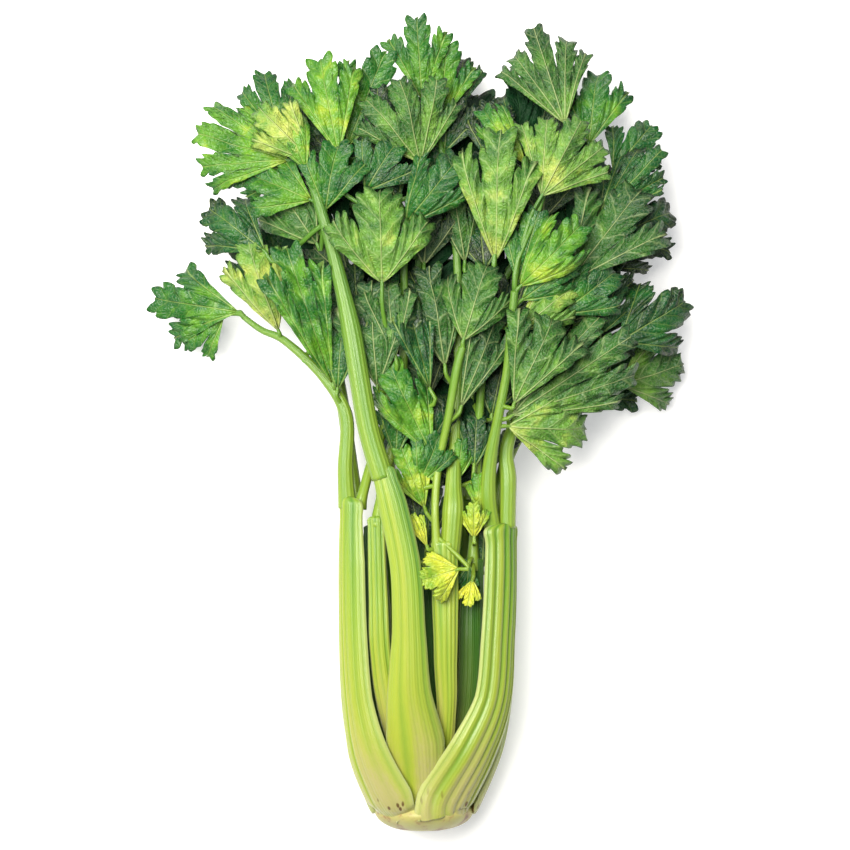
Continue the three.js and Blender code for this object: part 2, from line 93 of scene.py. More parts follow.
# A stalk's tone greens it and, above 0.5, also paints the shade deep in the bundle. Its tilt greens its right
# side, away from the key light, as painted shade.
STALKS = {
    "stalk_front_left": dict(
        wrap=48, ribs=7, relief=0.9, tone=0.1, tilt=0.3,
        stations=[(-26, -226, 62, 41, 8, 134), (-37.5, -198, 66, 35, 8, 134),
                  (-43.6, -165, 66, 28, 7.5, 138), (-46, -125, 65, 26.5, 7, 140),
                  (-46.6, -82, 64, 25, 6.5, 140), (-46, -43, 63, 18, 6, 135)],
        petioles=[
            [(-45, -50, 56, 5), (-46.3, -27, 57, 4.6), (-46, 6, 57, 4), (-60, 29, 55, 2.8),
             (-82.4, 50, 50, 2.3), (-97, 57, 46, 1.9), (-108, 65, 43, 1.6)],
            [(-38, -50, 56, 3), (-31.5, -26, 59, 3), (-24, -4, 62, 2.6), (-20, 18, 63, 2.2)]]),
    "stalk_front": dict(
        wrap=44, ribs=6, relief=0.6, tone=0.12, tilt=0.4,
        stations=[(-2, -224, 62, 32, 7, 92), (-4.5, -192, 74, 38, 7.5, 93),
                  (-8.6, -160, 81, 29, 7.5, 97), (-9, -122, 84, 22.5, 7.5, 100),
                  (-11, -84, 86, 21, 7.5, 100), (-18.3, -47, 86.5, 19.5, 7.5, 98),
                  (-24.5, -25, 85.5, 13, 7, 95)],
        petioles=[
            [(-23.5, -32, 80, 6), (-32, -3, 80, 6.2), (-37.4, 27, 80, 6), (-42.2, 55.5, 78.5, 5.8),
             (-47.6, 80, 76, 4.5), (-55, 109, 73, 3.5), (-63.5, 137, 70, 2.9), (-68.6, 151.5, 68, 2.1)]]),
    "stalk_front_right": dict(
        wrap=50, ribs=8, relief=1.4, tone=0.3, tilt=0.0,
        stations=[(19, -227, 62, 43, 8, 55), (35.5, -197, 67, 38, 8, 50), (47.5, -166, 66, 32, 7.5, 46),
                  (50.8, -128, 65, 31, 7, 43), (52.2, -92, 64, 30, 7, 42), (52, -59, 64, 27, 7, 46)],
        petioles=[
            [(42, -62, 61, 4.4), (39.5, -43.5, 64, 4.8), (40.5, -23, 66, 4), (44.5, 0, 70, 2.9),
             (50.2, 30, 74, 2.5), (52.6, 55.5, 77, 2.4), (55, 79.5, 79, 2.3)],
            [(51, -62, 58, 4.4), (51.5, -33, 58, 5), (51, -13, 55, 4), (62, 16, 49, 3),
             (80, 60, 46, 2.6), (93, 105, 46, 2.3), (97, 145, 48, 1.9)]]),
    "stalk_narrow": dict(
        wrap=42, ribs=4, relief=0.7, tone=0.1,
        stations=[(-9, -206, 54, 16, 5, 100), (-20, -172, 66, 16, 5, 100),
                  (-25.5, -138, 70, 14, 5, 100), (-27, -100, 71, 13, 5, 100),
                  (-28.2, -54, 70, 11, 4.5, 100)],
        petioles=[
            [(-27.5, -62, 66, 3), (-22, -30, 60, 3), (-14, 2, 56, 2.8), (-11, 50, 57, 2.6),
             (-11, 95, 60, 2.2), (-11, 112, 66, 1.7)]]),
    "stalk_inner_pale": dict(
        wrap=56, ribs=6, relief=0.8, tone=0.1,
        stations=[(11, -210, 52, 13, 5.5, 90), (14.5, -176, 66, 13, 5.5, 90), (14, -140, 72, 16, 6, 90),
                  (13.6, -105, 74, 18, 6.5, 90), (13.3, -69, 75, 17, 6.5, 90)],
        petioles=[
            [(16.5, -78, 68, 5), (18.4, -52, 68, 6.4), (18.6, -34, 64, 4.6), (20, 0, 57, 3),
             (22, 50, 54, 2.6), (20, 110, 50, 2.2), (12, 165, 48, 1.8)],
            [(9, -78, 70, 2.4), (7.6, -52, 71, 2.2), (9.4, -26, 67, 2.3), (15.5, 4, 71, 2.4),
             (20.5, 33, 75, 2.6), (24, 46, 77, 2.2)]]),
    "stalk_inner_right": dict(
        wrap=52, ribs=5, relief=0.4, tone=0.9,
        stations=[(22, -208, 44, 12, 4.5, 75), (29, -165, 52, 16, 4.5, 75),
                  (30.5, -120, 56, 17, 4.5, 78), (31, -80, 57, 14, 4.5, 80)],
        petioles=[[(30, -88, 54, 2.8), (32, -46, 53, 2.8), (34, 0, 55, 2.6), (37, 50, 60, 2.4),
                   (41, 84, 69, 1.8)]]),
    "stalk_inner_left": dict(
        wrap=54, ribs=5, relief=0.4, tone=0.95,
        stations=[(-14, -210, 36, 16, 5, 150), (-27, -165, 44, 22, 5, 120), (-31, -110, 46, 22, 5, 115),
                  (-30, -60, 46, 14, 5, 110)],
        petioles=[[(-29, -70, 42, 2.8), (-20, -20, 43, 2.9), (-5, 40, 44, 2.7), (-2, 100, 48, 2.4),
                   (-1, 148, 57, 1.8)]]),
    "stalk_inner_lower": dict(
        wrap=50, ribs=5, relief=0.4, tone=0.95,
        stations=[(4, -210, 40, 14, 5, 90), (4, -165, 48, 20, 5, 90), (3, -110, 52, 22, 5, 90),
                  (2, -56, 52, 14, 5, 90)],
        petioles=[[(3, -66, 47, 3), (12, 0, 32, 2.9), (34, 58, 29, 2.7), (62, 112, 34, 2.4),
                   (80, 158, 48, 2), (85, 172, 58, 1.6)]]),
    "stalk_left_under": dict(
        wrap=50, ribs=8, relief=0.6, tone=0.2,
        stations=[(-33, -226, 24, 31, 8, 204), (-43, -197, 25, 32, 8, 203),
                  (-48, -165, 27, 30, 7.5, 201), (-49.5, -120, 28, 28, 7, 200),
                  (-49, -78, 28, 26, 7, 198), (-46, -44, 29, 15, 6.5, 196)],
        petioles=[[(-40, -52, 28, 4), (-44, -20, 26, 4), (-50, 22, 24, 3.6), (-60, 72, 24, 3),
                   (-70, 122, 28, 2.5), (-80, 160, 40, 1.8)]]),
    "stalk_bottom_left": dict(
        wrap=42, ribs=8, relief=0.5, tone=0.2,
        stations=[(-11, -226, 3, 31, 8, 250), (-16, -197, 1.5, 34, 8, 250),
                  (-19, -165, 0.5, 33, 7.5, 250), (-20, -115, 0.5, 31, 7, 251),
                  (-20, -74, 1, 28, 7, 252), (-20, -40, 3, 16, 6.5, 255)],
        petioles=[[(-20, -48, 7, 4), (-22, -4, 6, 3.8), (-26, 50, 8, 3.2), (-32, 105, 16, 2.8),
                   (-40, 150, 36, 2.2), (-44, 160, 50, 1.7)]]),
    "stalk_bottom_right": dict(
        wrap=42, ribs=8, relief=0.5, tone=0.2,
        stations=[(12, -226, 3, 31, 8, 290), (18, -197, 1.5, 35, 8, 290), (22, -165, 0.5, 34, 7.5, 290),
                  (24, -115, 0.5, 32, 7, 289), (24.5, -74, 1, 29, 7, 288), (25, -38, 3, 16, 6.5, 285)],
        petioles=[[(25, -46, 7, 4), (26, 0, 6, 3.8), (27, 60, 8, 3.2), (20, 120, 18, 2.8),
                   (8, 168, 34, 2.2), (3, 188, 46, 1.7)]]),
    "stalk_right_under": dict(
        wrap=50, ribs=8, relief=0.6, tone=0.2,
        stations=[(35, -226, 24, 31, 8, 336), (47, -197, 25, 33, 8, 337), (53, -165, 27, 32, 7.5, 339),
                  (55, -120, 28, 29, 7, 340), (55, -80, 28, 27, 7, 341), (51.5, -46, 29, 15, 6.5, 343)],
        petioles=[[(45, -54, 28, 4), (52, -20, 26, 3.8), (68, 6, 25, 3.2), (88, 26, 27, 2.7),
                   (106, 40, 34, 2.1), (116, 47, 45, 1.6)]]),
}
BUTT_MIDDLE = Vector((0.5, 0, 35.5))
# The butt as (radius, y), from the middle of the cut round to its hidden top
BUTT_PROFILE = [(0, -245.4), (8, -245.5), (15.5, -244.7), (21.8, -242.6), (26.6, -239.6), (29.3, -236),
                (28.8, -232.5), (24, -225), (14, -208), (0, -198)]
# Where the backs of the outer stalks run down round the butt, as (y, radius)
BASE_ROWS = ((-244, 14), (-240.5, 22.5), (-235.5, 29.5))
OUTER_WALL = 6
# Between these places along the head, in metres, the stalks go from cream to green
PALING = (-245 * MM, 160 * MM)
# Brown flecks fade out between these, and each has a cell of this size in millimetres
FLECKED = (-228 * MM, -216 * MM)
FLECK_CELL = (4.5, 15, 4.5)
# How much of a stalk's outline is its back, and the faces round and along it
BACK_SHARE = 0.7
STALK_GRID = (128, 60)


# The leaves. A leaf is carried by a petiole of a stalk, at a share of its length, and has the foot
# and tip of its blade, its width, its tone from 0, yellow, to 1, deep blue-green, the side that
# faces up, and its bend along, cup across, roll and fold in degrees.

def leaf(carrier, foot, tip, width, tone, side="upper", bend=35, cup=-20, roll=0, fold=0, lobes=3,
         side_reach=0.85, shading=0.15, dark_tips=0.2, cut=1.0):
    return dict(carrier=carrier, foot=Vector(foot), tip=Vector(tip), width=width, tone=tone, side=side,
                bend=bend, cup=cup, roll=roll, fold=fold, lobes=lobes, side_reach=side_reach,
                shading=shading, dark_tips=dark_tips, cut=cut)


FRONT, LEFT, RIGHT = "stalk_front", "stalk_front_left", "stalk_front_right"
PALE, SHADED, NARROW = "stalk_inner_pale", "stalk_inner_right", "stalk_narrow"
HEART_LEFT, HEART_LOW = "stalk_inner_left", "stalk_inner_lower"
LOW_LEFT, FLOOR_LEFT = "stalk_left_under", "stalk_bottom_left"
FLOOR_RIGHT, LOW_RIGHT = "stalk_bottom_right", "stalk_right_under"

# Leaves low and deep in the foliage get darker tones: painted shade as well as their own colour.
LEAVES = {
    "leaf_crossing": leaf((LEFT, 1, 0.97), (-24, 84, 79), (-25.5, 135, 85), 50, 0.46, "under", fold=12),
    "leaf_right_glossy": leaf((RIGHT, 0, 0.97), (58, 82, 80), (93, 117, 86), 34, 0.42, bend=45, cup=-35),
    "leaf_right_fan": leaf((RIGHT, 0, 0.98), (71, 136, 78), (94, 180, 82), 54, 0.4, "under", fold=-10,
                           lobes=5),
    "leaf_middle_front": leaf((PALE, 1, 0.97), (24.5, 50, 78), (37, 92, 83), 40, 0.57, "under"),
    "leaf_long_veined": leaf((SHADED, 0, 0.97), (43.5, 97, 72), (46, 168, 79), 38, 0.4, "under", fold=14),
    "leaf_right_low_fan": leaf((RIGHT, 0, 0.48), (51, -1, 69), (104, -3, 60), 46, 0.42, "under", roll=10),
    "leaf_right_upright": leaf((RIGHT, 0, 0.55), (54.5, 12, 76), (78, 64, 78), 34, 0.57, "under"),
    "leaf_right_slender": leaf((RIGHT, 0, 0.8), (57, 56, 74), (88, 80, 72), 26, 0.36, "under"),
    "leaf_saturated": leaf((NARROW, 0, 0.98), (-9.8, 120, 72), (19.6, 157, 75), 34, 0.68, bend=40),
    "leaf_left_cream": leaf((FRONT, 0, 0.95), (-66, 157, 73), (-99, 190, 75), 30, 0.3, "under", bend=20),
    "leaf_left_broad": leaf((FRONT, 0, 0.99), (-80, 158, 66), (-139, 176, 60), 58, 0.42, roll=8, lobes=5),
    "leaf_left_high": leaf((FRONT, 0, 0.9), (-50, 162, 66), (-62, 221, 61), 34, 0.4),
    "leaf_middle_folded": leaf((NARROW, 0, 0.35), (4.6, 21, 68), (-8.6, 72, 70), 22, 0.8, fold=25),
    "leaf_middle_net": leaf((PALE, 0, 0.55), (13.6, 35, 63), (4.6, 89, 66), 32, 0.7, "under"),
    "leaf_middle_side": leaf((PALE, 1, 0.55), (23, 10, 68), (44, 63, 68), 22, 0.74, "under"),
    "leaf_middle_yellow": leaf((PALE, 1, 0.35), (5, -17, 67), (-17.6, 31, 71), 32, 0.46),
    "leaf_serrated": leaf((PALE, 1, 0.12), (1.5, -50, 64), (-12, -16, 68), 22, 0.34),
    "leaf_behind_petiole": leaf((LEFT, 1, 0.97), (-27, 22, 69), (-31, 80, 72), 36, 0.68, "under"),
    "leaf_left_folded": leaf((LEFT, 0, 0.42), (-53.5, 24, 60), (-80, 97, 64), 30, 0.5, fold=28),
    "leaf_left_pale_back": leaf((LEFT, 0, 0.68), (-86.5, 56, 52), (-105, 109.5, 58), 34, 0.3, "under",
                                fold=-18),
    "leaf_left_outer": leaf((LEFT, 0, 0.99), (-111, 68, 42), (-164.6, 76.5, 22), 40, 0.55, bend=50),
    "leaf_left_arm": leaf((FRONT, 0, 0.72), (-94.5, 104, 56), (-131, 132, 46), 36, 0.78, bend=50),
    "leaf_left_middle": leaf((FRONT, 0, 0.76), (-63, 108, 62), (-90, 146, 58), 40, 0.6, "under"),
    "leaf_top_olive": leaf((HEART_LEFT, 0, 0.98), (-1, 157, 60), (-13, 204, 65), 56, 0.55, "under", bend=30,
                           lobes=5),
    "leaf_top_tip": leaf((FLOOR_RIGHT, 0, 0.98), (0, 195, 50), (-4, 245.5, 46), 30, 0.52),
    "leaf_top_right": leaf((PALE, 0, 0.97), (10, 181, 50), (15, 230, 46), 32, 0.5),
    "leaf_right_olive": leaf((HEART_LOW, 0, 0.98), (85.5, 180, 62), (67, 238, 54), 52, 0.58, "under",
                             bend=45, lobes=5),
    "leaf_right_ridge": leaf((RIGHT, 1, 0.99), (100, 168, 52), (106, 216, 44), 36, 0.6),
    "leaf_right_grey": leaf((RIGHT, 1, 0.62), (89, 86, 62), (130.5, 141, 62), 46, 0.66, "under", roll=-6),
    "leaf_right_blue": leaf((RIGHT, 1, 0.82), (106.5, 126, 54), (145, 165, 48), 38, 0.72, lobes=5),
    "leaf_right_light": leaf((RIGHT, 0, 0.5), (53, 5, 70), (121, 50, 66), 60, 0.57, "under", lobes=5),
    "leaf_right_gloss": leaf((LOW_RIGHT, 0, 0.98), (119, 50, 48), (160, 76, 40), 48, 0.82, bend=55),
    "leaf_right_edge": leaf((RIGHT, 1, 0.72), (112, 112, 44), (154, 130, 36), 38, 0.85, bend=50),
    "leaf_right_corner": leaf((LOW_RIGHT, 0, 0.82), (120, 24, 34), (163, 38, 24), 44, 0.5, "under",
                              dark_tips=0.7),
    "leaf_right_shade": leaf((RIGHT, 1, 0.5), (92, 60, 44), (114, 105, 46), 38, 0.85),
    "leaf_right_dark": leaf((RIGHT, 1, 0.9), (115, 153, 42), (139, 181, 34), 36, 0.7),
    "leaf_left_dark": leaf((LOW_LEFT, 0, 0.98), (-83, 168, 48), (-97, 216, 42), 52, 0.62, lobes=5),
    "leaf_left_top": leaf((FLOOR_LEFT, 0, 0.98), (-45, 167, 52), (-24, 223, 48), 34, 0.55),
    "leaf_under_left": leaf((LOW_LEFT, 0, 0.55), (-64, 80, 17), (-116, 118, 2), 50, 0.75, bend=50),
    "leaf_under_top_left": leaf((FLOOR_LEFT, 0, 0.6), (-38, 118, 14), (-62, 186, 2), 56, 0.75, bend=50),
    "leaf_under_top": leaf((FLOOR_RIGHT, 0, 0.6), (26, 122, 14), (32, 196, 2), 58, 0.75, bend=50),
    "leaf_under_right": leaf((LOW_RIGHT, 0, 0.5), (86, 20, 17), (134, 44, 2), 48, 0.75, bend=50),
    "leaf_under_top_right": leaf((HEART_LOW, 0, 0.55), (66, 108, 20), (112, 158, 2), 54, 0.75, bend=50),
}
HEART_LEAVES = {
    "heart_leaf_round": leaf((PALE, 1, 0.06), (22, -86, 80), (-1, -93, 84), 28, 0.16, bend=20,
                             side_reach=0.98, dark_tips=0, cut=0.55),
    "heart_leaf_spear": leaf((PALE, 1, 0.02), (3, -73, 74), (-6.5, -52, 78), 9, 0.12),
    "heart_leaf_trident": leaf((SHADED, 0, 0.12), (31, -68, 68), (30.5, -46, 71), 16, 0.2),
    "heart_leaf_yellow": leaf((SHADED, 0, 0.02), (30, -93, 66), (27, -109, 70), 13, 0.02),
}
# A little stem leans this share of its way along the petiole, and as much in line with the blade
TWIG_LEAN = 0.25
# Blades grow by up to this share in the middle of the foliage, and by nothing at its rim
FOLIAGE_MIDDLE = Vector((4, 95))
FOLIAGE_REACH = 150
FOLIAGE_GROWTH = 0.16
# Faces across each half of a blade and along it, large and small, and its thickness in millimetres
BLADE_COLUMNS, SMALL_COLUMNS = 65, 36
BLADE_ROWS, SMALL_ROWS = 14, 9
BLADE_THICKNESS = 0.4
# A blade's rim and its waves, as shares of its length
BLADE_RIM = 0.93
PLEAT = 0.035
LOOSE_WAVE = 0.13
# Its teeth and the quilting between its side veins, as shares of the gap between those veins
TOOTH = 0.42
QUILTING = 0.16
# How far a side vein runs towards the tip for each step away from its rib
VEIN_SLANT = 1.7
# Smaller leaves deep in the foliage, which the frame leaves out; the darkest of them paint the shade in the
# gaps under the leaves above
DEEP_LEAVES = {"deep_leaf_" + name: spec for name, spec in {
    "top_cover": leaf((FRONT, 0, 0.95), (-34, 140, 66), (-14, 172, 68), 34, 0.75),
    "twig_cover": leaf((LEFT, 1, 0.97), (-16, 40, 72), (-22, 90, 76), 26, 0.6, "under"),
    "gap_left": leaf((HEART_LEFT, 0, 0.05), (-9, -74, 50), (-8, -34, 56), 22, 0.95),
    "gap_middle": leaf((HEART_LEFT, 0, 0.08), (2, -76, 52), (7, -30, 56), 24, 0.95),
    "gap_right": leaf((SHADED, 0, 0.05), (36, -88, 50), (38, -46, 54), 20, 0.95),
    "right_cover": leaf((RIGHT, 1, 0.5), (82, 66, 66), (119, 94, 66), 36, 0.7),
    "right_floor": leaf((LOW_RIGHT, 0, 0.5), (88, 42, 36), (120, 76, 34), 44, 1.0),
    "fork_outer": leaf((LEFT, 0, 0.34), (-51, 20, 62), (-47, 72, 66), 28, 0.75),
    "left_tip": leaf((LEFT, 0, 0.99), (-120, 65, 38), (-147, 48, 30), 28, 0.5),
    "stem_cover": leaf((FRONT, 0, 0.8), (-58, 128, 70), (-50, 174, 72), 36, 0.6),
    "stem_left": leaf((FRONT, 0, 0.82), (-66, 134, 70), (-104, 150, 64), 34, 0.5),
    "stem_top": leaf((FRONT, 0, 0.97), (-69, 152, 74), (-86, 190, 70), 26, 0.4),
    "fork_low": leaf((PALE, 1, 0.3), (-2, -36, 66), (11, -4, 69), 24, 0.55),
    "fork_left": leaf((NARROW, 0, 0.3), (-16, -20, 62), (-14, 18, 66), 22, 0.7),
    "fork_right": leaf((SHADED, 0, 0.5), (31, -26, 60), (33, 10, 62), 24, 0.85),
    "heart_high": leaf((SHADED, 0, 0.25), (35, -52, 62), (33, -28, 64), 15, 0.3),
    "heart_low": leaf((SHADED, 0, 0.05), (28, -84, 62), (26, -101, 64), 12, 0.55),
    "right_node": leaf((RIGHT, 1, 0.35), (56, 8, 58), (92, 22, 54), 38, 0.65),
    "right_high": leaf((RIGHT, 0, 0.9), (59, 74, 76), (92, 98, 72), 30, 0.6),
    "right_stem": leaf((RIGHT, 0, 0.95), (57, 84, 76), (70, 128, 74), 34, 0.55),
    "left_stem": leaf((LEFT, 0, 0.55), (-55.4, 59.7, 40), (-71.6, 106.5, 42), 28, 0.85),
    "left_low": leaf((FRONT, 0, 0.97), (-74.6, 155.7, 60), (-120.8, 147.9, 54), 28, 0.55),
    "left_teal": leaf((FRONT, 0, 0.88), (-45.8, 155.7, 54), (-65.6, 173.7, 52), 24, 0.95),
    "top_dark": leaf((PALE, 0, 0.98), (19.6, 188, 42), (25.6, 226.5, 40), 24, 0.9),
    "middle_teal": leaf((NARROW, 0, 0.95), (-14.6, 134, 56), (-27.8, 157.5, 54), 26, 0.95),
    "middle_black": leaf((PALE, 0, 0.85), (-1.4, 104.7, 52), (14.8, 130, 50), 26, 0.9),
    "middle_high": leaf((SHADED, 0, 0.95), (25.6, 97.5, 52), (19.6, 140, 52), 24, 0.65, "under"),
    "beside_stem": leaf((LEFT, 1, 0.98), (-18.2, 47.7, 60), (-19.4, 90, 60), 22, 0.6),
    "small_centre": leaf((PALE, 0, 0.4), (21.4, -33.3, 60), (23.8, -8, 62), 16, 0.45),
    "right_curl": leaf((RIGHT, 0, 0.99), (61.6, 155.7, 70), (33.4, 191.7, 66), 22, 0.42),
    "right_black": leaf((HEART_LOW, 0, 0.95), (59.8, 170, 46), (46.6, 202, 42), 30, 0.9),
    "right_teal": leaf((RIGHT, 1, 0.7), (106.6, 95.7, 38), (145, 110.7, 34), 28, 0.95),
    "right_inner": leaf((RIGHT, 1, 0.55), (106.6, 53.7, 50), (118, 88, 48), 28, 0.8),
    "top_shade": leaf((SHADED, 0, 0.98), (41.8, 155.7, 50), (39.4, 195, 46), 26, 0.9),
}.items()}


# The rest of the foliage, in the shade under those. Each row across the head has its place along
# it, its left and right ends and its number of leaves.

SHADE_ROWS = [(-12, -14, 34, 2), (22, -26, 66, 4), (58, -44, 92, 5), (92, -62, 104, 6), (126, -74, 108, 6),
              (158, -76, 96, 6), (186, -52, 84, 4)]
MIDDLE_ROWS = [(-10, -4, 40, 3), (34, -18, 92, 4), (74, -66, 108, 6), (110, -72, 122, 6), (146, -80, 120, 6),
               (180, -74, 100, 5)]
LEAF_FAN_MIDDLE = Vector((4, -120, 0))
CARRIER_SHARES = (0.12, 0.2, 0.3, 0.4, 0.5, 0.6, 0.7, 0.8, 0.9, 0.97)
SHARP_BEND_COST = 90


def nearest_carrier(foot, away):
    """The stalk and petiole, with the share of its length, that can feed a leaf without a sharp bend."""
    found = []
    for name, spec in STALKS.items():
        for index, petiole in enumerate(spec["petioles"]):
            points = [Vector(row[:3]) for row in petiole]
            for share in CARRIER_SHARES:
                gap = foot - route(points, share)
                ahead = gap.normalized().dot(away)
                cost = gap.length + SHARP_BEND_COST * max(0.0, 0.5 - ahead)
                found.append((cost, (name, index, share)))
    return min(found)[1]


def leaf_layer(name, rows, low, high, sizes, tones, seed):
    """A layer of leaves that point away from the stalks, each on a stem from the nearest petiole."""
    chance = random.Random(seed)
    made = {}
    for row, (y, left, right, count) in enumerate(rows):
        for i in range(count):
            x = blend(left, right, (i + 0.5) / count) + chance.uniform(-6, 6)
            middle = Vector((x, y + chance.uniform(-8, 8), chance.uniform(low, high)))
            away = (Vector((middle.x, middle.y, 0)) - LEAF_FAN_MIDDLE).normalized()
            away.rotate(Euler((0, 0, math.radians(chance.uniform(-30, 30)))))
            size = chance.uniform(*sizes)
            foot = middle - away * size / 2 + Vector((0, 0, 3))
            tip = middle + away * size / 2 - Vector((0, 0, 4))
            made[f"{name}_{row}_{i}"] = leaf(
                nearest_carrier(foot, away), foot, tip, size * chance.uniform(0.8, 1.0),
                chance.uniform(*tones), chance.choice(("upper", "upper", "under")),
                roll=chance.uniform(-25, 25))
    return made


# These leaves' dark tones paint the shade deep in the foliage.
FILL_LEAVES = leaf_layer(
    "shade_leaf", SHADE_ROWS, low=18, high=44, sizes=(40, 54), tones=(0.9, 1.1), seed=11)
MIDDLE_LEAVES = leaf_layer(
    "middle_leaf", MIDDLE_ROWS, low=44, high=58, sizes=(34, 46), tones=(0.84, 1.06), seed=23)


# Materials

def add(tree, kind, settings=None, **inputs):
    """Adds one shader node with its settings, and a value or a link for each named input."""
    node = tree.nodes.new(kind)
    for name, value in (settings or {}).items():
        setattr(node, name, value)
    for name, value in inputs.items():
        key = int(name[1:]) if name[0] == "i" and name[1:].isdigit() else name.replace("_", " ")
        if isinstance(value, bpy.types.NodeSocket):
            tree.links.new(value, node.inputs[key])
        else:
            node.inputs[key].default_value = value
    return node


def material(name):
    made = bpy.data.materials.new(name)
    made.use_nodes = True
    made.node_tree.nodes.clear()
    return made, made.node_tree


def maths(tree, operation, a, b=0.5, c=0.5):
    return add(tree, "ShaderNodeMath", dict(operation=operation), i0=a, i1=b, i2=c).outputs[0]


def mix(tree, share, first, second):
    """Goes from the first colour to the second as the share goes from 0 to 1."""
    return add(tree, "ShaderNodeMix", dict(data_type="RGBA"), i0=share, i6=first, i7=second).outputs[2]


def span(tree, value, start, end, at_start=1.0, at_end=0.0, kind="LINEAR"):
    """Turns a value that runs from start to end into one that runs from at_start to at_end."""
    return add(tree, "ShaderNodeMapRange", dict(interpolation_type=kind), Value=value, From_Min=start,
               From_Max=end, To_Min=at_start, To_Max=at_end).outputs["Result"]


def ramp(tree, factor, stops):
    """A colour ramp through (place, hex colour) stops."""
    node = add(tree, "ShaderNodeValToRGB", Fac=factor)
    elements = node.color_ramp.elements
    while len(elements) < len(stops):
        elements.new(0.5)
    for element, (place, colour) in zip(elements, stops):
        element.position = place
        element.color = linear(colour)
    return node.outputs["Color"]


def attribute(tree, name):
    return add(tree, "ShaderNodeAttribute", dict(attribute_name=name)).outputs["Fac"]


def own_place(tree):
    """The object's own coordinates, in metres."""
    return add(tree, "ShaderNodeTexCoord").outputs["Object"]


def soft_noise(tree, vector, cell=1.0, **inputs):
    """Soft noise with features of about one cell, in the units of the vector."""
    return add(tree, "ShaderNodeTexNoise", Vector=vector, Scale=1 / cell, **inputs).outputs["Fac"]


def finish_surface(tree, made, colour, roughness, height, bump_mm, subsurface, specular=0.5):
    """Ends a plant material: waxy skin over watery tissue that light goes a little way into."""
    bump = add(tree, "ShaderNodeBump", Height=height, Distance=bump_mm * MM, Strength=1.0)
    shader = add(tree, "ShaderNodeBsdfPrincipled", Base_Color=colour, Roughness=roughness,
                 Normal=bump.outputs["Normal"], Subsurface_Weight=subsurface,
                 Subsurface_Radius=(0.8, 1.0, 0.3), Subsurface_Scale=1.5 * MM,
                 Specular_IOR_Level=specular, IOR=1.42)
    add(tree, "ShaderNodeOutputMaterial", Surface=shader.outputs["BSDF"])
    return made


def leaf_skin(name, stops, rib_colour, rib_share, roughness, bump_mm, veins_up, specular=0.5):
    """Celery leaf blade: ribs fan out to the teeth, with a fine net of veins between them."""
    made, tree = material(name)

    def line(distance, half_width, soft):
        return span(tree, distance, half_width, half_width + soft, kind="SMOOTHSTEP")

    uv = add(tree, "ShaderNodeUVMap", dict(uv_map="veins")).outputs["UV"]
    parts = add(tree, "ShaderNodeSeparateXYZ", Vector=uv)
    from_rib, rank = parts.outputs["X"], parts.outputs["Y"]
    place = own_place(tree)
    wander = maths(tree, "MULTIPLY", maths(tree, "SUBTRACT", soft_noise(tree, place, 7 * MM), 0.5), 0.5)
    rib_half = maths(tree, "MULTIPLY_ADD", attribute(tree, "reach"), -0.035, 0.05)
    main = line(maths(tree, "DIVIDE", from_rib, rib_half), 0.4, 1.5)
    between = maths(tree, "FRACT", maths(tree, "ADD", rank, wander))
    lateral = line(maths(tree, "ABSOLUTE", maths(tree, "SUBTRACT", between, 0.5)), 0.01, 0.09)
    net = add(tree, "ShaderNodeTexVoronoi", dict(feature="DISTANCE_TO_EDGE"), Vector=place,
              Scale=1 / (2.4 * MM)).outputs["Distance"]
    net_line = line(net, 0.02, 0.14)
    mottle = maths(tree, "SUBTRACT", soft_noise(tree, place, 14 * MM, Detail=4.0, Roughness=0.6), 0.5)
    blade = ramp(tree, maths(tree, "MULTIPLY_ADD", mottle, 0.9, attribute(tree, "tone")), stops)

    veins = maths(tree, "MAXIMUM", main, maths(tree, "MULTIPLY", lateral, 0.42))
    veins = maths(tree, "MAXIMUM", veins, maths(tree, "MULTIPLY", net_line, 0.2))
    colour = mix(tree, maths(tree, "MULTIPLY", veins, rib_share), blade, linear(rib_colour))
    quilt = maths(tree, "MULTIPLY", net, -0.9 if veins_up else 0.9)
    height = maths(tree, "MULTIPLY_ADD", veins, 1.0 if veins_up else -1.0, quilt)
    return finish_surface(tree, made, colour, roughness, height, bump_mm, 0.0, specular)


def leaf_upper():
    """The upper side: deep green and waxy, with sunken veins."""
    stops = [(0.0, "#B4B42A"), (0.2, "#92A22A"), (0.4, "#4E801A"), (0.6, "#1A5616"), (0.8, "#07421A"),
             (1.0, "#021E10")]
    return leaf_skin("Celery leaf, waxy upper side", stops, "#8EA254", 0.4, 0.42, 0.5, False)


def leaf_shaded():
    """Leaves low in the foliage, which get little light: dull, their dark green deepened towards black as
    painted shade.
    """
    stops = [(0.5, "#184A1E"), (0.75, "#0A3416"), (1.0, "#05240F")]
    # The near-black stops are painted shade for the deep foliage.
    return leaf_skin("Celery leaf, old blade darkened with painted shade", stops, "#2A4E26", 0.3, 0.6, 0.5, False, 0.15)


def leaf_under():
    """The underside: paler, matt, with raised ribs."""
    stops = [(0.0, "#B2B05C"), (0.2, "#98A44A"), (0.4, "#56802A"), (0.6, "#28561A"), (0.8, "#143E18"),
             (1.0, "#0C2A14")]
    return leaf_skin("Celery leaf, matt ribbed underside", stops, "#9CA870", 0.5, 0.48, 0.7, True)


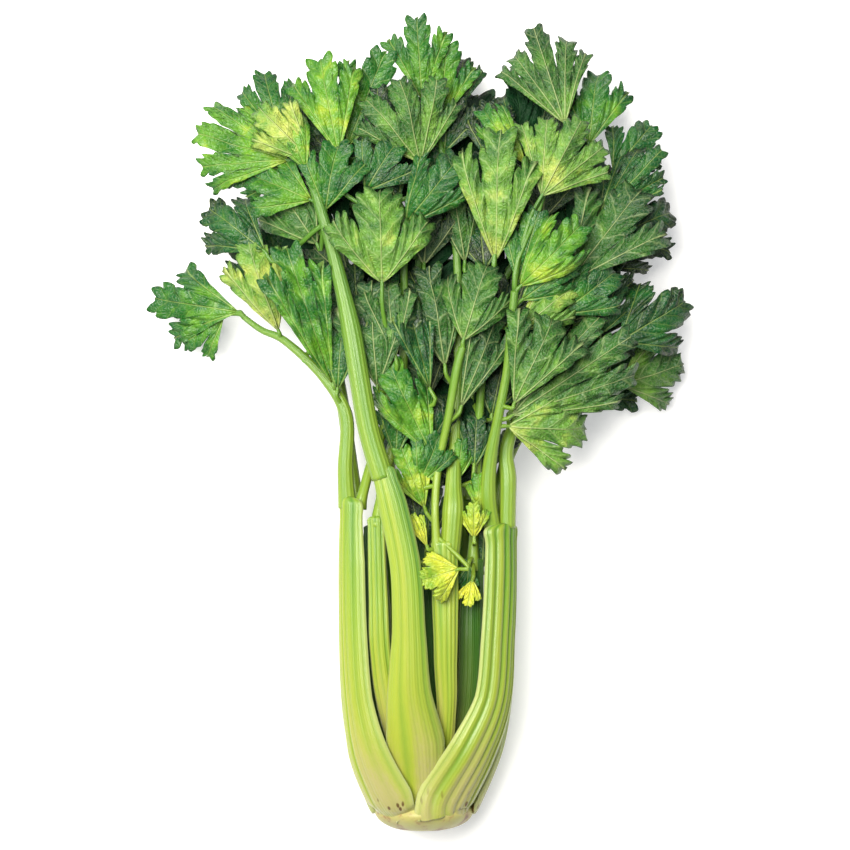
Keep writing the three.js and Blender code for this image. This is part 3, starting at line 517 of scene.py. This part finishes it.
def stalk_skin():
    """Celery stalk: taut wet skin over long strings, cream at the butt and green further up."""
    made, tree = material("Celery stalk, ribbed waxy skin")
    place = own_place(tree)
    level = add(tree, "ShaderNodeSeparateXYZ", Vector=place).outputs["Y"]
    uv = add(tree, "ShaderNodeUVMap", dict(uv_map="strings")).outputs["UV"]

    def scaled(vector, scale):
        return add(tree, "ShaderNodeMapping", Vector=vector, Scale=scale).outputs["Vector"]

    strings = scaled(uv, (5.0, 12.0, 1.0))
    streaks = soft_noise(tree, strings, Detail=3.0, Roughness=0.55)
    bands = soft_noise(tree, scaled(uv, (0.45, 0.35, 1.0)), Detail=1.0)
    height = span(tree, level, *PALING, 0.0, 1.0)
    banded = maths(tree, "MULTIPLY_ADD", bands, 0.9, maths(tree, "MULTIPLY_ADD", streaks, 0.16, height))
    spread = maths(tree, "SUBTRACT", banded, 0.5)
    back = ramp(tree, spread, [
        (0.0, "#98925E"), (0.08, "#959549"), (0.2, "#8C9630"), (0.45, "#80952E"), (0.7, "#67882E"),
        (1.0, "#4C7428")])
    side = ramp(tree, spread, [
        (0.0, "#86884A"), (0.15, "#6A842A"), (0.4, "#447418"), (0.7, "#2C6218"), (1.0, "#22561E")])
    # The hollow inner face, the grooves between ribs and the side that a stalk's tilt names take the darker
    # side colour: painted shade, with some of the stalk's own deeper green.
    deeper = maths(tree, "MAXIMUM", attribute(tree, "inner_face_shade"), attribute(tree, "green"))
    # Stalks deep in the bundle are mixed towards near-black green: painted shade.
    body = mix(tree, attribute(tree, "bundle_painted_shade"), mix(tree, deeper, back, side), linear("#0E3A1A"))
    # Thin lips go pale cream-green: their own paler edge, with a painted highlight for light shining through
    # them.
    lip_highlighted = mix(tree, attribute(tree, "pale_lip_highlight"), body, linear("#A4AA74"))
    cells = scaled(place, [1 / (size * MM) for size in FLECK_CELL])
    spot = add(tree, "ShaderNodeTexVoronoi", Vector=cells, Scale=1.0).outputs["Distance"]
    flecks = maths(tree, "MULTIPLY", span(tree, spot, 0.17, 0.26), span(tree, level, *FLECKED, 0.95, 0.0))
    colour = mix(tree, flecks, lip_highlighted, linear("#4E3414"))
    fine = soft_noise(tree, strings, 0.25, Detail=2.0)
    return finish_surface(tree, made, colour, 0.28, fine, 0.12, 0.15)


def butt_skin():
    """The butt: trimmed cream flesh with brown flecks where roots were cut off."""
    made, tree = material("Celery butt, trimmed cream flesh")
    blotch = soft_noise(tree, own_place(tree), 9 * MM, Detail=5.0, Roughness=0.65)
    flesh = ramp(tree, blotch, [(0.3, "#9C9C58"), (0.5, "#9A9456"), (0.58, "#8A784A"), (0.68, "#664422")])
    return finish_surface(tree, made, flesh, 0.5, blotch, 0.4, 0.2)


def studio_floor():
    """A matt white sweep of card, lit a little from below so that its shadows stay faint."""
    made, tree = material("Card, matt white")
    tooth = soft_noise(tree, own_place(tree), 3 * MM)
    card = ramp(tree, tooth, [(0.3, "#DCDCDD"), (0.7, "#DEDEDE")])
    made = finish_surface(tree, made, card, 0.9, tooth, 0.02, 0.0, 0.1)
    shader = tree.nodes["Principled BSDF"]
    shader.inputs["Emission Color"].default_value = linear("#FFFFFF")
    shader.inputs["Emission Strength"].default_value = 0.38
    return made


# Meshes

def warp(bm, across, out, layer_name, place, mapped, marks):
    """Adds a grid, moves each vertex to place(u, v), in millimetres, and sets its UVs and attributes."""
    for name in marks:
        if name not in bm.verts.layers.float:
            bm.verts.layers.float.new(name)
    layer = bm.loops.layers.uv.get(layer_name) or bm.loops.layers.uv.new(layer_name)
    layers = {name: bm.verts.layers.float[name] for name in marks}
    verts = bmesh.ops.create_grid(bm, x_segments=across, y_segments=out, size=0.5)["verts"]
    for vert in verts:
        u, v = vert.co.x + 0.5, vert.co.y + 0.5
        for loop in vert.link_loops:
            loop[layer].uv = mapped(u, v)
        for name, value in marks.items():
            vert[layers[name]] = value(u, v)
        spot = place(u, v)
        vert.co = Vector((spot.x, spot.y, max(spot.z, 0.0))) * MM
    return verts


def close_tube(bm, verts):
    """Joins a tube's seam, fills its two ends and faces it outward."""
    bmesh.ops.remove_doubles(bm, verts=verts, dist=0.02 * MM)
    bmesh.ops.holes_fill(bm, edges=[edge for edge in bm.edges if edge.is_boundary], sides=0)
    bmesh.ops.recalc_face_normals(bm, faces=bm.faces)


def piece(name, bm, materials, replaced=None):
    """Turns a mesh into a named object, which stands for its node where it has one."""
    mesh = bpy.data.meshes.new(name)
    bm.to_mesh(mesh)
    bm.free()
    mesh.shade_smooth()
    for made in materials:
        mesh.materials.append(made)
    made = bpy.data.objects.new(name, mesh)
    bpy.context.scene.collection.objects.link(made)
    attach(made, "root")
    if replaced:
        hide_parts(replaced)
    return made


def square_to(points, t, up):
    """The two directions square to a curve at share t, the first one nearest to up."""
    tangent = heading(points, t)
    out = (up - tangent * up.dot(tangent)).normalized()
    return out, tangent.cross(out)


def stalk_tube(bm, spec):
    """The C-shaped stalk: a ribbed back, rounded lips and a smooth hollow inner side."""
    stations = base_stations(spec) + spec["stations"]
    points = [Vector(s[:3]) for s in stations]
    widths, walls, facings = ([s[i] for s in stations] for i in (3, 4, 5))
    half_wrap = math.radians(spec["wrap"])
    ribs = spec["ribs"]
    end_share = 4.0 / (points[-1] - points[0]).length

    def across_of(u):
        """The place across the back from -1 to 1, and whether it is on the inner side."""
        if u <= BACK_SHARE:
            return blend(-1, 1, u / BACK_SHARE), False
        return blend(1, -1, (u - BACK_SHARE) / (1 - BACK_SHARE)), True

    chance = random.Random(ribs + round(widths[0]))
    depths = [chance.uniform(0.25, 1.0) for _ in range(ribs + 1)]
    drift = chance.uniform(-0.16, 0.16)

    def groove(a):
        """0 on the crown of a rib and 1 in the groove beside it."""
        count = ribs * (a + 1 + drift * (1 - a * a) * math.cos(3 * a)) / 2
        near = depths[min(max(round(count), 0), ribs)]
        return near * (1 - abs(math.sin(math.pi * count)) ** 1.1)

    def along_stalk(v):
        return 1 - (1 - v) ** 1.35

    def place(u, v):
        a, inner = across_of(u)
        v = along_stalk(v)
        a = 0.75 * a + 0.25 * math.sin(a * math.pi / 2)
        facing = math.radians(along(facings, v))
        out, side = square_to(points, v, Vector((math.cos(facing), 0, math.sin(facing))))
        rounding = math.sqrt(max(0.1, 1 - (max(0.0, v - 1 + end_share) / end_share) ** 2))
        width = along(widths, v) * (1 + 0.1 * math.exp(-((v - 0.97) / 0.014) ** 2)) * rounding
        radius = width / 2 / math.sin(half_wrap)
        half_wall = along(walls, v) * (1 - 0.45 * a * a) / 2 * rounding
        roundness = math.sqrt(max(0.0, 1 - abs(a) ** 8))
        depth = half_wall * (1 + roundness if inner else 1 - roundness)
        if not inner:
            strings = 0.08 * math.cos(math.pi * ribs * 3 * a)
            relief = spec["relief"] * min(1.0, 0.2 + v * 1.6, 0.3 + 14 * (1 - v))
            depth += (relief * groove(across_of(u)[0]) + strings) * (1 - a ** 6)
        depth += 0.5 * noise.noise(Vector((a * 1.5, v * 6, widths[0])))
        depth += 4 * (1 - rounding)
        reach = radius - depth
        return (route(points, v) + side * reach * math.sin(a * half_wrap)
                + out * (reach * math.cos(a * half_wrap) - radius))

    def mapped(u, v):
        return (ribs * (across_of(u)[0] + 1) / 2, along_stalk(v) * len(stations) * 0.5)

    marks = {
        # Painted shade on the hollow inner face.
        "inner_face_shade": lambda u, v: 0.8 if across_of(u)[1] else 0.0,
        # The stalk's own green, with painted shade in its grooves and on the side its tilt names.
        "green": lambda u, v: min(1.0, max(0.0, spec["tone"] + spec.get("tilt", 0.0) * across_of(u)[0]
                                           + 0.75 * groove(across_of(u)[0]) * min(1.0, 0.25 + 2 * v))),
        # Pale lips with a painted highlight.
        "pale_lip_highlight": lambda u, v: abs(across_of(u)[0]) ** 10,
        # Painted shade on the stalks deep in the bundle.
        "bundle_painted_shade": lambda u, v: 0.8 * max(0.0, spec["tone"] - 0.5) * 2 * min(1.0, 0.3 + 3 * v),
    }
    close_tube(bm, warp(bm, *STALK_GRID, "strings", place, mapped, marks))


def base_stations(spec):
    """Carries an outer stalk's base down round the butt to the cut."""
    x, y, z, width, wall, facing = spec["stations"][0]
    if wall < OUTER_WALL:
        return []
    bearing = math.radians(facing)
    out = Vector((math.cos(bearing), 0, math.sin(bearing)))
    reach = (Vector((x, 0, z)) - Vector((BUTT_MIDDLE.x, 0, BUTT_MIDDLE.z))).length
    rows = []
    for level, radius in BASE_ROWS:
        spot = BUTT_MIDDLE + out * radius
        rows.append((spot.x, level, spot.z, width * (radius / reach) ** 0.6, wall * radius / reach, facing))
    return rows


def stem_tube(bm, rows, ribs, relief, sides, steps, green, swell=0.0):
    """A round petiole or little stem with fine ribs, swollen where it leaves its node."""
    points = [Vector(r[:3]) for r in rows]
    radii = [r[3] for r in rows]

    def place(u, v):
        up, side = square_to(points, v, Vector((0, 0, 1)))
        angle = u * 2 * math.pi
        swollen = swell * math.exp(-(v / 0.09) ** 2)
        radius = along(radii, v) * (1 + relief * math.cos(ribs * angle) + swollen)
        return route(points, v) + side * radius * math.cos(angle) + up * radius * math.sin(angle)

    def mapped(u, v):
        return (u * ribs, v * len(rows) * 0.4)

    marks = {name: lambda u, v: 0.0 for name in ("inner_face_shade", "green", "pale_lip_highlight", "bundle_painted_shade")}
    marks["green"] = lambda u, v: green
    close_tube(bm, warp(bm, sides, steps, "strings", place, mapped, marks))


def twig_rows(spec, petiole):
    """The little stem that leaves along the petiole and meets a leaf's foot in line with the blade."""
    points, share = [Vector(r[:3]) for r in petiole], spec["carrier"][2]
    start, foot = route(points, share), spec["foot"]
    apart = (foot - start).length
    lean = start + heading(points, share) * apart * TWIG_LEAN
    back = (foot - spec["tip"]).normalized() * apart * TWIG_LEAN
    inside_blade = foot - back.normalized() * 3
    return [(*start, 1.7), (*lean, 1.5), (*(foot + back), 1.3), (*foot, 1.1), (*inside_blade, 0.8)]


def blade_form(spec, seed):
    """The chance parts of a blade: its lobes' tips and leans, its notches and its teeth."""
    chance = random.Random(seed)
    lobes, side = spec["lobes"], spec["side_reach"]
    middle = (lobes - 1) / 2
    shrink = [1 - (1 - side) * (abs(i - middle) / middle) ** 1.4 for i in range(lobes)]
    return dict(
        lobes=lobes,
        tips=[share * (1.0 if i == middle else chance.uniform(0.93, 1.06)) for i, share in enumerate(shrink)],
        leans=[chance.uniform(-0.2, 0.1) for _ in range(lobes)],
        notches=[0.35, *(spec["cut"] * chance.uniform(0.34, 0.6) for _ in range(lobes - 1)), 0.35],
        teeth=[chance.uniform(0.65, 1.25) for _ in range(64)],
        swing=chance.uniform(-18, 18),
        bend=chance.uniform(-12, 25),
        cup=chance.uniform(-40, 15),
        drift=Vector([chance.uniform(0, 90) for _ in range(3)]),
    )


def between_lobes(values, q):
    """A value that belongs to each lobe, smoothed over the lobes at lobe place q."""
    return along(values, (q - 0.5) / (len(values) - 1))


def blade_mesh(bm, spec, seed, columns, rows):
    """A lobed and toothed blade: main ribs fan out from its foot, and side veins run to its teeth."""
    form = blade_form(spec, seed)
    lobes = form["lobes"]
    chord = spec["tip"] - spec["foot"]
    length, ahead = chord.length, chord.normalized()
    half_width = spec["width"] / 2
    outer_lobe = 1 - 1 / lobes
    widest = math.asin(min(0.97, half_width / (length * spec["side_reach"])))
    spread = min(math.radians(82), widest / outer_lobe)
    vein_gap = max(3.2, (0.19 if lobes == 3 else 0.15) * length)
    bend = math.radians(spec["bend"] + form["bend"]) or 0.01
    cup = math.radians(spec["cup"] + form["cup"]) or 0.01
    fold = math.radians(spec["fold"])
    arc = length / math.sin(bend / 2) * bend / 2
    facing_up = 1.0 if spec["side"] == "upper" else -1.0
    up_flat = (Vector((0, 0, 1)) - ahead * ahead.z).normalized()
    left_flat = up_flat.cross(ahead)

    def lobe_at(u):
        q = lobes * u
        i = min(int(q), lobes - 1)
        return q, i, 2 * (q - i) - 1

    def rank_at(reach, from_rib, q):
        """Counts the side veins from the lobe's tip down, so that each ends in a tooth."""
        return 20.5 + (reach - VEIN_SLANT * from_rib - length * between_lobes(form["tips"], q)) / vein_gap

    def spot(u, v):
        q, i, s = lobe_at(u)
        rim = BLADE_RIM * length * form["tips"][i] * (1 - form["notches"][i + (s > 0)] * abs(s) ** 3.4)
        fan = 2 * u - 1
        half_lobe = spread / lobes * (1.25 - 0.75 * fan * fan)
        rank = rank_at(rim, abs(s) * half_lobe * rim, q)
        tooth = (1 - abs(2 * (rank % 1) - 1) ** 1.2) * form["teeth"][int(rank) + 21 * (s > 0)]
        small_tooth = 0.3 * (1 - abs(2 * ((2 * rank) % 1) - 1) ** 1.2)
        height = TOOTH * vein_gap * (tooth + small_tooth) * (1 - abs(s) ** 6)
        reach = blend(1.0, rim + height, v ** 0.9)
        angle = spread * fan * (1.25 - 0.25 * fan * fan) + math.copysign(0.5, s) * height / rim * v ** 8
        return reach, angle, q, abs(s) * half_lobe * reach

    def place(u, v):
        reach, angle, q, from_rib = spot(u, v)
        share = reach / length
        grow = min(1.0, share * 1.7)
        forward, across = reach * math.cos(angle), reach * math.sin(angle)
        turn = cup * across / half_width
        sideways = half_width / cup * math.sin(turn)
        lift = half_width / abs(cup) * (1 - math.cos(turn)) * math.copysign(1, cup)
        sideways *= math.cos(fold)
        lift += abs(across) * math.sin(fold)
        lift += facing_up * grow * PLEAT * length * (1 - math.exp(-(from_rib / (0.09 * length)) ** 1.5))
        rank = rank_at(reach, from_rib, q)
        lift += facing_up * grow * QUILTING * vein_gap * math.cos(2 * math.pi * rank) * min(1, from_rib / 2)
        lift += between_lobes(form["leans"], q) * length * share ** 2.5
        wave = Vector((forward, across, 0)) + form["drift"] * 10
        loose = LOOSE_WAVE * length * noise.noise(wave / (0.42 * length))
        lift += grow * (loose + 0.9 * noise.noise(wave / 4.5))
        tilt = bend * (0.5 - forward / length)
        run = arc / bend * (math.sin(bend / 2) - math.sin(tilt)) - math.sin(tilt) * lift
        rise = arc / bend * (math.cos(tilt) - math.cos(bend / 2)) + math.cos(tilt) * lift
        roll = math.radians(spec["roll"] + form["swing"] * (forward / length - 0.2))
        left = left_flat * math.cos(roll) + up_flat * math.sin(roll)
        up = up_flat * math.cos(roll) - left_flat * math.sin(roll)
        return spec["foot"] + ahead * run - left * sideways + up * rise

    def mapped(u, v):
        reach, angle, q, from_rib = spot(u, v)
        return (from_rib / 10, rank_at(reach, from_rib, q))

    def tone(u, v):
        share = spot(u, v)[0] / length
        return spec["tone"] + spec["shading"] * (share - 0.5) + spec["dark_tips"] * 0.45 * v ** 6

    marks = {"tone": tone, "reach": lambda u, v: spot(u, v)[0] / length}
    warp(bm, columns, rows, "veins", place, mapped, marks)


def fuller(spec):
    """Spreads a blade a little in the middle of the foliage, where leaves overlap."""
    out = (Vector((spec["tip"].x, spec["tip"].y)) - FOLIAGE_MIDDLE).length / FOLIAGE_REACH
    growth = 1 + FOLIAGE_GROWTH * max(0.0, 1 - out ** 4)
    tip = spec["foot"] + (spec["tip"] - spec["foot"]) * growth
    return {**spec, "tip": tip, "width": spec["width"] * growth}


def build_leaf(name, spec, skins, replaced=None):
    """One leaf blade as a thin shell with an upper side and an underside."""
    if replaced in LEAVES:
        spec = fuller(spec)
    length = (spec["tip"] - spec["foot"]).length
    half_lobe_columns = round((BLADE_COLUMNS if length > 30 and replaced else SMALL_COLUMNS) / spec["lobes"])
    bm = bmesh.new()
    rows = BLADE_ROWS if replaced else SMALL_ROWS
    blade_mesh(bm, spec, name, 2 * half_lobe_columns * spec["lobes"], rows)
    upper, under = skins
    order = [upper, under] if spec["side"] == "upper" else [under, upper]
    made = piece(name + "_blade", bm, order, replaced)
    shell = made.modifiers.new("blade thickness", "SOLIDIFY")
    shell.thickness = BLADE_THICKNESS * MM
    shell.offset = 0.0
    shell.material_offset = 1
    return made


# Operators

# The camera's sensor, then in metres the picture's middle, the floor and the soft light
SENSOR_MM = 36.0
PHOTO_MIDDLE = Vector((1.6, -0.3, 0)) * MM
FLOOR_REACH = 2.5
KEY_SIZE = 1.3
KEY_PLACE = Vector((-0.55, 0.5, 1.9))


class CELERY_PG_sizes(bpy.types.PropertyGroup):
    camera_lens: bpy.props.FloatProperty(
        name="Lens", description="Focal length of the camera in millimetres", default=180.0, min=50.0)
    view_width: bpy.props.FloatProperty(
        name="View width", description="Width that the picture takes in", default=0.51, unit="LENGTH")
    view_height: bpy.props.FloatProperty(
        name="View level", description="Height above the floor that fits that width", default=0.06,
        unit="LENGTH")


class CELERY_PG_light(bpy.types.PropertyGroup):
    key_power: bpy.props.FloatProperty(
        name="Key power", description="Power of the soft key light", default=112.0, unit="POWER")
    sky: bpy.props.FloatProperty(
        name="Sky", description="Strength of the even light all round", default=0.42)


class CELERY_OT_stage(bpy.types.Operator):
    """Adds the pale floor, the soft light and the camera straight above"""
    bl_idname = "celery.stage"
    bl_label = "Stage"

    def execute(self, context):
        sizes, light = context.scene.celery_sizes, context.scene.celery_light
        bm = bmesh.new()
        bmesh.ops.create_grid(bm, x_segments=8, y_segments=8, size=FLOOR_REACH)
        mesh = bpy.data.meshes.new("floor")
        bm.to_mesh(mesh)
        bm.free()
        mesh.materials.append(studio_floor())
        floor = bpy.data.objects.new("floor", mesh)
        context.scene.collection.objects.link(floor)
        world = bpy.data.worlds.new("Even studio light")
        world.use_nodes = True
        sky = world.node_tree.nodes["Background"].inputs
        sky["Color"].default_value = linear("#F6F9FF")
        sky["Strength"].default_value = light.sky
        context.scene.world = world
        key = bpy.data.lights.new("key", "AREA")
        key.energy = light.key_power
        key.size = KEY_SIZE
        key.color = linear("#FFFBF2")[:3]
        lamp = bpy.data.objects.new("key", key)
        lamp.location = KEY_PLACE
        lamp.rotation_euler = (-KEY_PLACE).to_track_quat("-Z", "Y").to_euler()
        context.scene.collection.objects.link(lamp)
        camera = bpy.data.cameras.new("camera")
        camera.lens = sizes.camera_lens
        camera.sensor_width = SENSOR_MM
        camera.clip_end = 50.0
        view = bpy.data.objects.new("camera", camera)
        distance = sizes.view_width * sizes.camera_lens / SENSOR_MM
        view.location = PHOTO_MIDDLE + Vector((0, 0, sizes.view_height + distance))
        context.scene.collection.objects.link(view)
        context.scene.camera = view
        context.scene.view_settings.view_transform = "Standard"
        return {"FINISHED"}


class CELERY_OT_stalks(bpy.types.Operator):
    """Builds the stalks with their petioles and little leaf stems"""
    bl_idname = "celery.stalks"
    bl_label = "Stalks"

    def execute(self, context):
        skin = stalk_skin()
        carried = {**LEAVES, **HEART_LEAVES, **DEEP_LEAVES, **FILL_LEAVES, **MIDDLE_LEAVES}
        for name, spec in STALKS.items():
            bm = bmesh.new()
            stalk_tube(bm, spec)
            for rows in spec["petioles"]:
                widest = max(row[3] for row in rows)
                ribs = round(2.4 * widest)
                # Petioles take more green from their stalk's tone, which paints shade for the stalks deep in
                # the bundle.
                stem_tube(bm, rows, ribs=ribs, relief=0.035, sides=4 * ribs, steps=8 * len(rows),
                          green=0.2 + 0.4 * spec["tone"], swell=0.5 if widest < 4.5 else 0.1)
            for one in carried.values():
                if one["carrier"][0] == name:
                    rows = twig_rows(one, spec["petioles"][one["carrier"][1]])
                    stem_tube(bm, rows, ribs=5, relief=0.08, sides=15, steps=12, green=0.5)
            piece(name + "_ribbed", bm, [skin], name)
        return {"FINISHED"}


class CELERY_OT_butt(bpy.types.Operator):
    """Builds the trimmed butt"""
    bl_idname = "celery.butt"
    bl_label = "Butt"

    def execute(self, context):
        points = [Vector((radius, y, 0)) for radius, y in BUTT_PROFILE]

        def place(u, v):
            spot = route(points, v)
            angle = u * 2 * math.pi
            out = Vector((math.cos(angle), 0, math.sin(angle)))
            rough = noise.noise(Vector((out.x, out.z, v * 4)))
            radius = max(spot.x, 0.0) * (1 + 0.02 * math.cos(7 * angle) + 0.015 * rough)
            return BUTT_MIDDLE + Vector((0, spot.y, 0)) + out * radius

        bm = bmesh.new()
        close_tube(bm, warp(bm, 96, 60, "around", place, lambda u, v: (u, v), {}))
        piece("butt_trimmed", bm, [butt_skin()], "butt")
        return {"FINISHED"}


class CELERY_OT_leaves(bpy.types.Operator):
    """Builds the leaf blades, with the small ones of the heart and the ones deep in the foliage"""
    bl_idname = "celery.leaves"
    bl_label = "Leaves"

    def execute(self, context):
        skins = leaf_upper(), leaf_under()
        for name, spec in {**LEAVES, **HEART_LEAVES}.items():
            build_leaf(name, spec, skins, name)
        for name, spec in {**DEEP_LEAVES, **MIDDLE_LEAVES}.items():
            build_leaf(name, spec, skins)
        shaded = leaf_shaded()
        for name, spec in FILL_LEAVES.items():
            build_leaf(name, spec, (shaded, shaded))
        return {"FINISHED"}


class CELERY_PT_panel(bpy.types.Panel):
    """Lists the steps that build the head of celery"""
    bl_idname = "CELERY_PT_panel"
    bl_label = "Head of Celery"
    bl_space_type = "VIEW_3D"
    bl_region_type = "UI"
    bl_category = "Celery"

    def draw(self, context):
        for group in (context.scene.celery_sizes, context.scene.celery_light):
            for name in group.bl_rna.properties.keys()[2:]:
                self.layout.prop(group, name)
        for step in STEPS:
            self.layout.operator(step.bl_idname)


STEPS = (CELERY_OT_stage, CELERY_OT_stalks, CELERY_OT_butt, CELERY_OT_leaves)
CLASSES = (CELERY_PG_sizes, CELERY_PG_light) + STEPS + (CELERY_PT_panel,)


def register():
    for kind in CLASSES:
        bpy.utils.register_class(kind)
    bpy.types.Scene.celery_sizes = bpy.props.PointerProperty(type=CELERY_PG_sizes)
    bpy.types.Scene.celery_light = bpy.props.PointerProperty(type=CELERY_PG_light)


def unregister():
    del bpy.types.Scene.celery_light
    del bpy.types.Scene.celery_sizes
    for kind in reversed(CLASSES):
        bpy.utils.unregister_class(kind)


def main():
    register()
    bpy.ops.celery.stage()
    bpy.ops.celery.stalks()
    bpy.ops.celery.butt()
    bpy.ops.celery.leaves()
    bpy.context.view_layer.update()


if __name__ == "__main__":
    main()
